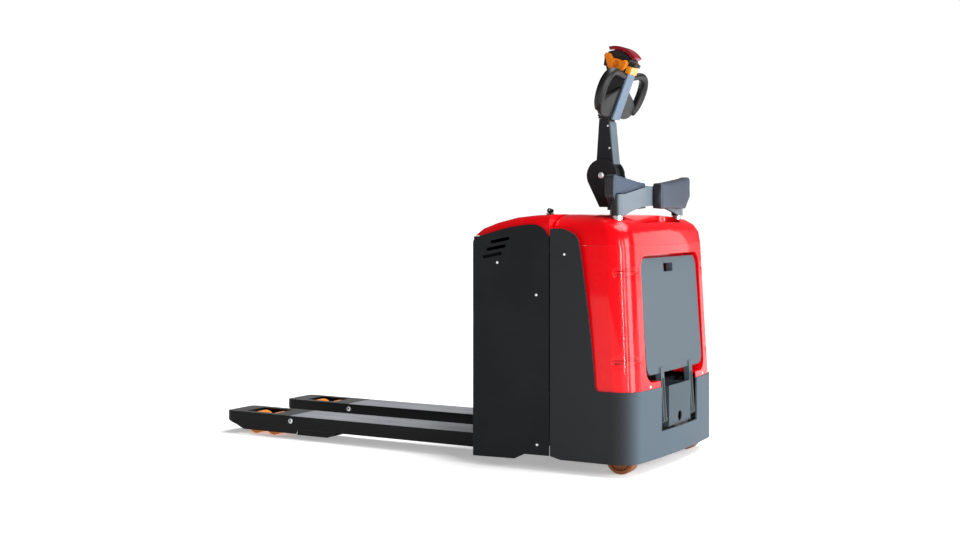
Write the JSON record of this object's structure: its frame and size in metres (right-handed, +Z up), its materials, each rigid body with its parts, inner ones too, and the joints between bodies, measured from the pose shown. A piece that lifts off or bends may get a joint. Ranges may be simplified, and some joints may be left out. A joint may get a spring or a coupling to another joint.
{
  "type": "electric pallet truck",
  "caption": "Stand-on electric pallet truck: lifting forks with tandem rollers, battery box, covered drive unit, tiller, backrest and folding platform.",
  "frame": {"origin": "on the ground, at the middle of the overall length and of the width", "axes": "+Z up, forks point to -X, the operator stands at +X"},
  "size_m": [1.7374, 0.73, 1.3983],
  "materials": {
    "frame_black": "satin black powder coat",
    "panel_black": "fine-textured black powder coat",
    "skirt_grey": "fine-textured dark grey powder coat",
    "cover_red": "glossy red moulded cover",
    "machine_grey": "grey machine enamel",
    "electronics": "cast aluminium",
    "battery_case": "moulded case",
    "chrome_rod": "polished hard chrome",
    "zinc_steel": "zinc plated",
    "polyurethane": "cast orange polyurethane",
    "drive_tyre": "cast brown polyurethane",
    "grip_black": "soft-touch moulded grip",
    "head_black": "fine-grained black moulding",
    "trim_blue_grey": "blue-grey moulding",
    "arm_grey": "light grey enamel",
    "throttle_orange": "glossy orange moulding",
    "button_yellow": "glossy yellow-orange moulding",
    "button_crimson": "glossy crimson moulding",
    "backrest_grey": "light grey enamel",
    "pad_vinyl": "dark blue-grey coated fabric",
    "platform_grey": "fine-textured grey powder coat",
    "mat_black": "ribbed rubber mat",
    "bracket_grey": "grey powder coat",
    "key_black": "moulded key bow"
  },
  "bodies": {
    "chassis": {"chassis_frame": "frame_black", "drive_shell": "skirt_grey", "rear_cover": "cover_red", "top_hood": "cover_red", "hinge_bracket": "bracket_grey", "controller": "electronics", "hydraulic_unit": "machine_grey", "lift_cylinder": "frame_black"},
    "load_frame": {"battery_box": "frame_black", "side_panel_l": "panel_black", "side_panel_r": "panel_black", "battery": "battery_case", "bridge_cover": "cover_red", "key_switch": "key_black", "lift_rod": "chrome_rod", "fork_l": "frame_black", "fork_r": "frame_black", "skid_l": "frame_black", "skid_r": "frame_black"},
    "battery_lid": {"battery_lid": "cover_red"},
    "key": {"key": "key_black"},
    "torsion_shaft": {"torsion_shaft": "zinc_steel"},
    "push_rod_l": {"push_rod_l": "zinc_steel"},
    "push_rod_r": {"push_rod_r": "zinc_steel"},
    "load_arm_l": {"load_arm_l": "frame_black"},
    "load_arm_r": {"load_arm_r": "frame_black"},
    "bogie_l": {"bogie_l": "zinc_steel"},
    "bogie_r": {"bogie_r": "zinc_steel"},
    "roller_tip_l": {"roller_tip_l": "polyurethane"},
    "roller_heel_l": {"roller_heel_l": "polyurethane"},
    "roller_tip_r": {"roller_tip_r": "polyurethane"},
    "roller_heel_r": {"roller_heel_r": "polyurethane"},
    "steering": {"drive_unit": "machine_grey", "steering_column": "frame_black"},
    "drive_wheel": {"drive_wheel": "drive_tyre"},
    "tiller": {"tiller_arm": "frame_black", "arm_trim": "arm_grey", "tiller_head": "head_black", "head_trim": "trim_blue_grey", "handle_l": "grip_black", "handle_r": "grip_black"},
    "throttle": {"throttle": "throttle_orange"},
    "belly_button": {"belly_button": "button_crimson"},
    "horn_button": {"horn_button": "button_yellow"},
    "lift_rocker": {"lift_rocker": "head_black"},
    "backrest": {"backrest_frame": "backrest_grey", "backrest_post_l": "chrome_rod", "backrest_post_r": "chrome_rod", "pad_l": "pad_vinyl", "pad_r": "pad_vinyl"},
    "platform": {"platform": "platform_grey", "platform_mat": "mat_black"},
    "gas_cylinder": {"gas_cylinder": "frame_black"},
    "gas_rod": {"gas_rod": "chrome_rod"},
    "caster_yoke_l": {"caster_yoke_l": "zinc_steel"},
    "caster_yoke_r": {"caster_yoke_r": "zinc_steel"},
    "caster_wheel_l": {"caster_wheel_l": "polyurethane"},
    "caster_wheel_r": {"caster_wheel_r": "polyurethane"}
  },
  "joints": [
    {"name": "lift", "type": "slide", "parent": "chassis", "child": "load_frame", "axis": [0, 0, 1], "range_m": [0, 0.12]},
    {"name": "lid_hinge", "type": "hinge", "parent": "load_frame", "child": "battery_lid", "pos_m": [0.45494, 0, 0.82], "axis": [0, 1, 0], "range_deg": [0, 75]},
    {"name": "key_turn", "type": "hinge", "parent": "load_frame", "child": "key", "pos_m": [0.49934, -0.232, 0.83], "axis": [0, 0, 1], "range_deg": [-90, 0]},
    {"name": "torsion_turn", "type": "hinge", "parent": "load_frame", "child": "torsion_shaft", "pos_m": [0.40434, 0, 0.066], "axis": [0, -1, 0], "range_deg": [0, 58]},
    {"name": "push_rod_slide_l", "type": "slide", "parent": "load_frame", "child": "push_rod_l", "axis": [1, 0, 0], "range_m": [0, 0.019]},
    {"name": "load_arm_swing_l", "type": "hinge", "parent": "load_frame", "child": "load_arm_l", "pos_m": [-0.55666, -0.184, 0.066], "axis": [0, -1, 0], "range_deg": [0, 58]},
    {"name": "bogie_rock_l", "type": "hinge", "parent": "load_arm_l", "child": "bogie_l", "pos_m": [-0.71366, -0.184, 0.04], "axis": [0, 1, 0], "range_deg": [0, 58]},
    {"name": "roller_tip_spin_l", "type": "hinge", "parent": "bogie_l", "child": "roller_tip_l", "pos_m": [-0.75566, -0.184, 0.04], "axis": [0, 1, 0], "continuous": true},
    {"name": "roller_heel_spin_l", "type": "hinge", "parent": "bogie_l", "child": "roller_heel_l", "pos_m": [-0.67166, -0.184, 0.04], "axis": [0, 1, 0], "continuous": true},
    {"name": "push_rod_slide_r", "type": "slide", "parent": "load_frame", "child": "push_rod_r", "axis": [1, 0, 0], "range_m": [0, 0.019]},
    {"name": "load_arm_swing_r", "type": "hinge", "parent": "load_frame", "child": "load_arm_r", "pos_m": [-0.55666, 0.184, 0.066], "axis": [0, -1, 0], "range_deg": [0, 58]},
    {"name": "bogie_rock_r", "type": "hinge", "parent": "load_arm_r", "child": "bogie_r", "pos_m": [-0.71366, 0.184, 0.04], "axis": [0, 1, 0], "range_deg": [0, 58]},
    {"name": "roller_tip_spin_r", "type": "hinge", "parent": "bogie_r", "child": "roller_tip_r", "pos_m": [-0.75566, 0.184, 0.04], "axis": [0, 1, 0], "continuous": true},
    {"name": "roller_heel_spin_r", "type": "hinge", "parent": "bogie_r", "child": "roller_heel_r", "pos_m": [-0.67166, 0.184, 0.04], "axis": [0, 1, 0], "continuous": true},
    {"name": "steer", "type": "hinge", "parent": "chassis", "child": "steering", "pos_m": [0.63834, 0, 0.3], "axis": [0, 0, 1], "range_deg": [-90, 90]},
    {"name": "drive_wheel_spin", "type": "hinge", "parent": "steering", "child": "drive_wheel", "pos_m": [0.63834, 0, 0.11], "axis": [0, 1, 0], "continuous": true},
    {"name": "tiller_tilt", "type": "hinge", "parent": "steering", "child": "tiller", "pos_m": [0.59434, 0, 0.959], "axis": [0, 1, 0], "range_deg": [0, 60], "stiffness_Nm_per_rad": 22, "springref_deg": -28.65},
    {"name": "throttle_turn", "type": "hinge", "parent": "tiller", "child": "throttle", "pos_m": [0.65414, 0, 1.33055], "axis": [0, 1, 0], "range_deg": [-25, 25], "stiffness_Nm_per_rad": 1.5},
    {"name": "belly_press", "type": "slide", "parent": "tiller", "child": "belly_button", "axis": [-0.3633, 0, -0.9317], "range_m": [0, 0.005], "stiffness_N_per_m": 1500, "springref_m": -0.004},
    {"name": "horn_press", "type": "slide", "parent": "tiller", "child": "horn_button", "axis": [-0.9317, 0, 0.3633], "range_m": [0, 0.003], "stiffness_N_per_m": 1000, "springref_m": -0.002},
    {"name": "lift_rocker_tilt", "type": "hinge", "parent": "tiller", "child": "lift_rocker", "pos_m": [0.70325, 0, 1.32987], "axis": [0, 1, 0], "range_deg": [-6, 6], "stiffness_Nm_per_rad": 0.8},
    {"name": "backrest_height", "type": "slide", "parent": "chassis", "child": "backrest", "axis": [0, 0, 1], "range_m": [0, 0.055]},
    {"name": "platform_fold", "type": "hinge", "parent": "chassis", "child": "platform", "pos_m": [0.85434, 0, 0.158], "axis": [0, 1, 0], "range_deg": [0, 94]},
    {"name": "gas_swing", "type": "hinge", "parent": "chassis", "child": "gas_cylinder", "pos_m": [0.84234, -0.146, 0.134], "axis": [0, 1, 0], "range_deg": [0, 78]},
    {"name": "gas_slide", "type": "slide", "parent": "gas_cylinder", "child": "gas_rod", "axis": [0.0371, 0, 0.9993], "range_m": [-0.0105, 0.002]},
    {"name": "caster_swivel_l", "type": "hinge", "parent": "chassis", "child": "caster_yoke_l", "pos_m": [0.75634, -0.273, 0.14], "axis": [0, 0, 1], "continuous": true},
    {"name": "caster_spin_l", "type": "hinge", "parent": "caster_yoke_l", "child": "caster_wheel_l", "pos_m": [0.77834, -0.273, 0.05], "axis": [0, 1, 0], "continuous": true},
    {"name": "caster_swivel_r", "type": "hinge", "parent": "chassis", "child": "caster_yoke_r", "pos_m": [0.75634, 0.273, 0.14], "axis": [0, 0, 1], "continuous": true},
    {"name": "caster_spin_r", "type": "hinge", "parent": "caster_yoke_r", "child": "caster_wheel_r", "pos_m": [0.77834, 0.273, 0.05], "axis": [0, 1, 0], "continuous": true}
  ],
  "couplings": [
    {"joint": "torsion_turn", "follows": "lift", "rad_per_m": 8.3124},
    {"joint": "push_rod_slide_l", "follows": "lift", "ratio": 0.15402},
    {"joint": "load_arm_swing_l", "follows": "lift", "rad_per_m": 8.3124},
    {"joint": "bogie_rock_l", "follows": "lift", "rad_per_m": 8.3124},
    {"joint": "push_rod_slide_r", "follows": "lift", "ratio": 0.15402},
    {"joint": "load_arm_swing_r", "follows": "lift", "rad_per_m": 8.3124},
    {"joint": "bogie_rock_r", "follows": "lift", "rad_per_m": 8.3124},
    {"joint": "gas_swing", "follows": "platform_fold", "ratio": 0.81046},
    {"joint": "gas_slide", "follows": "platform_fold", "m_per_rad": -0.005716}
  ]
}
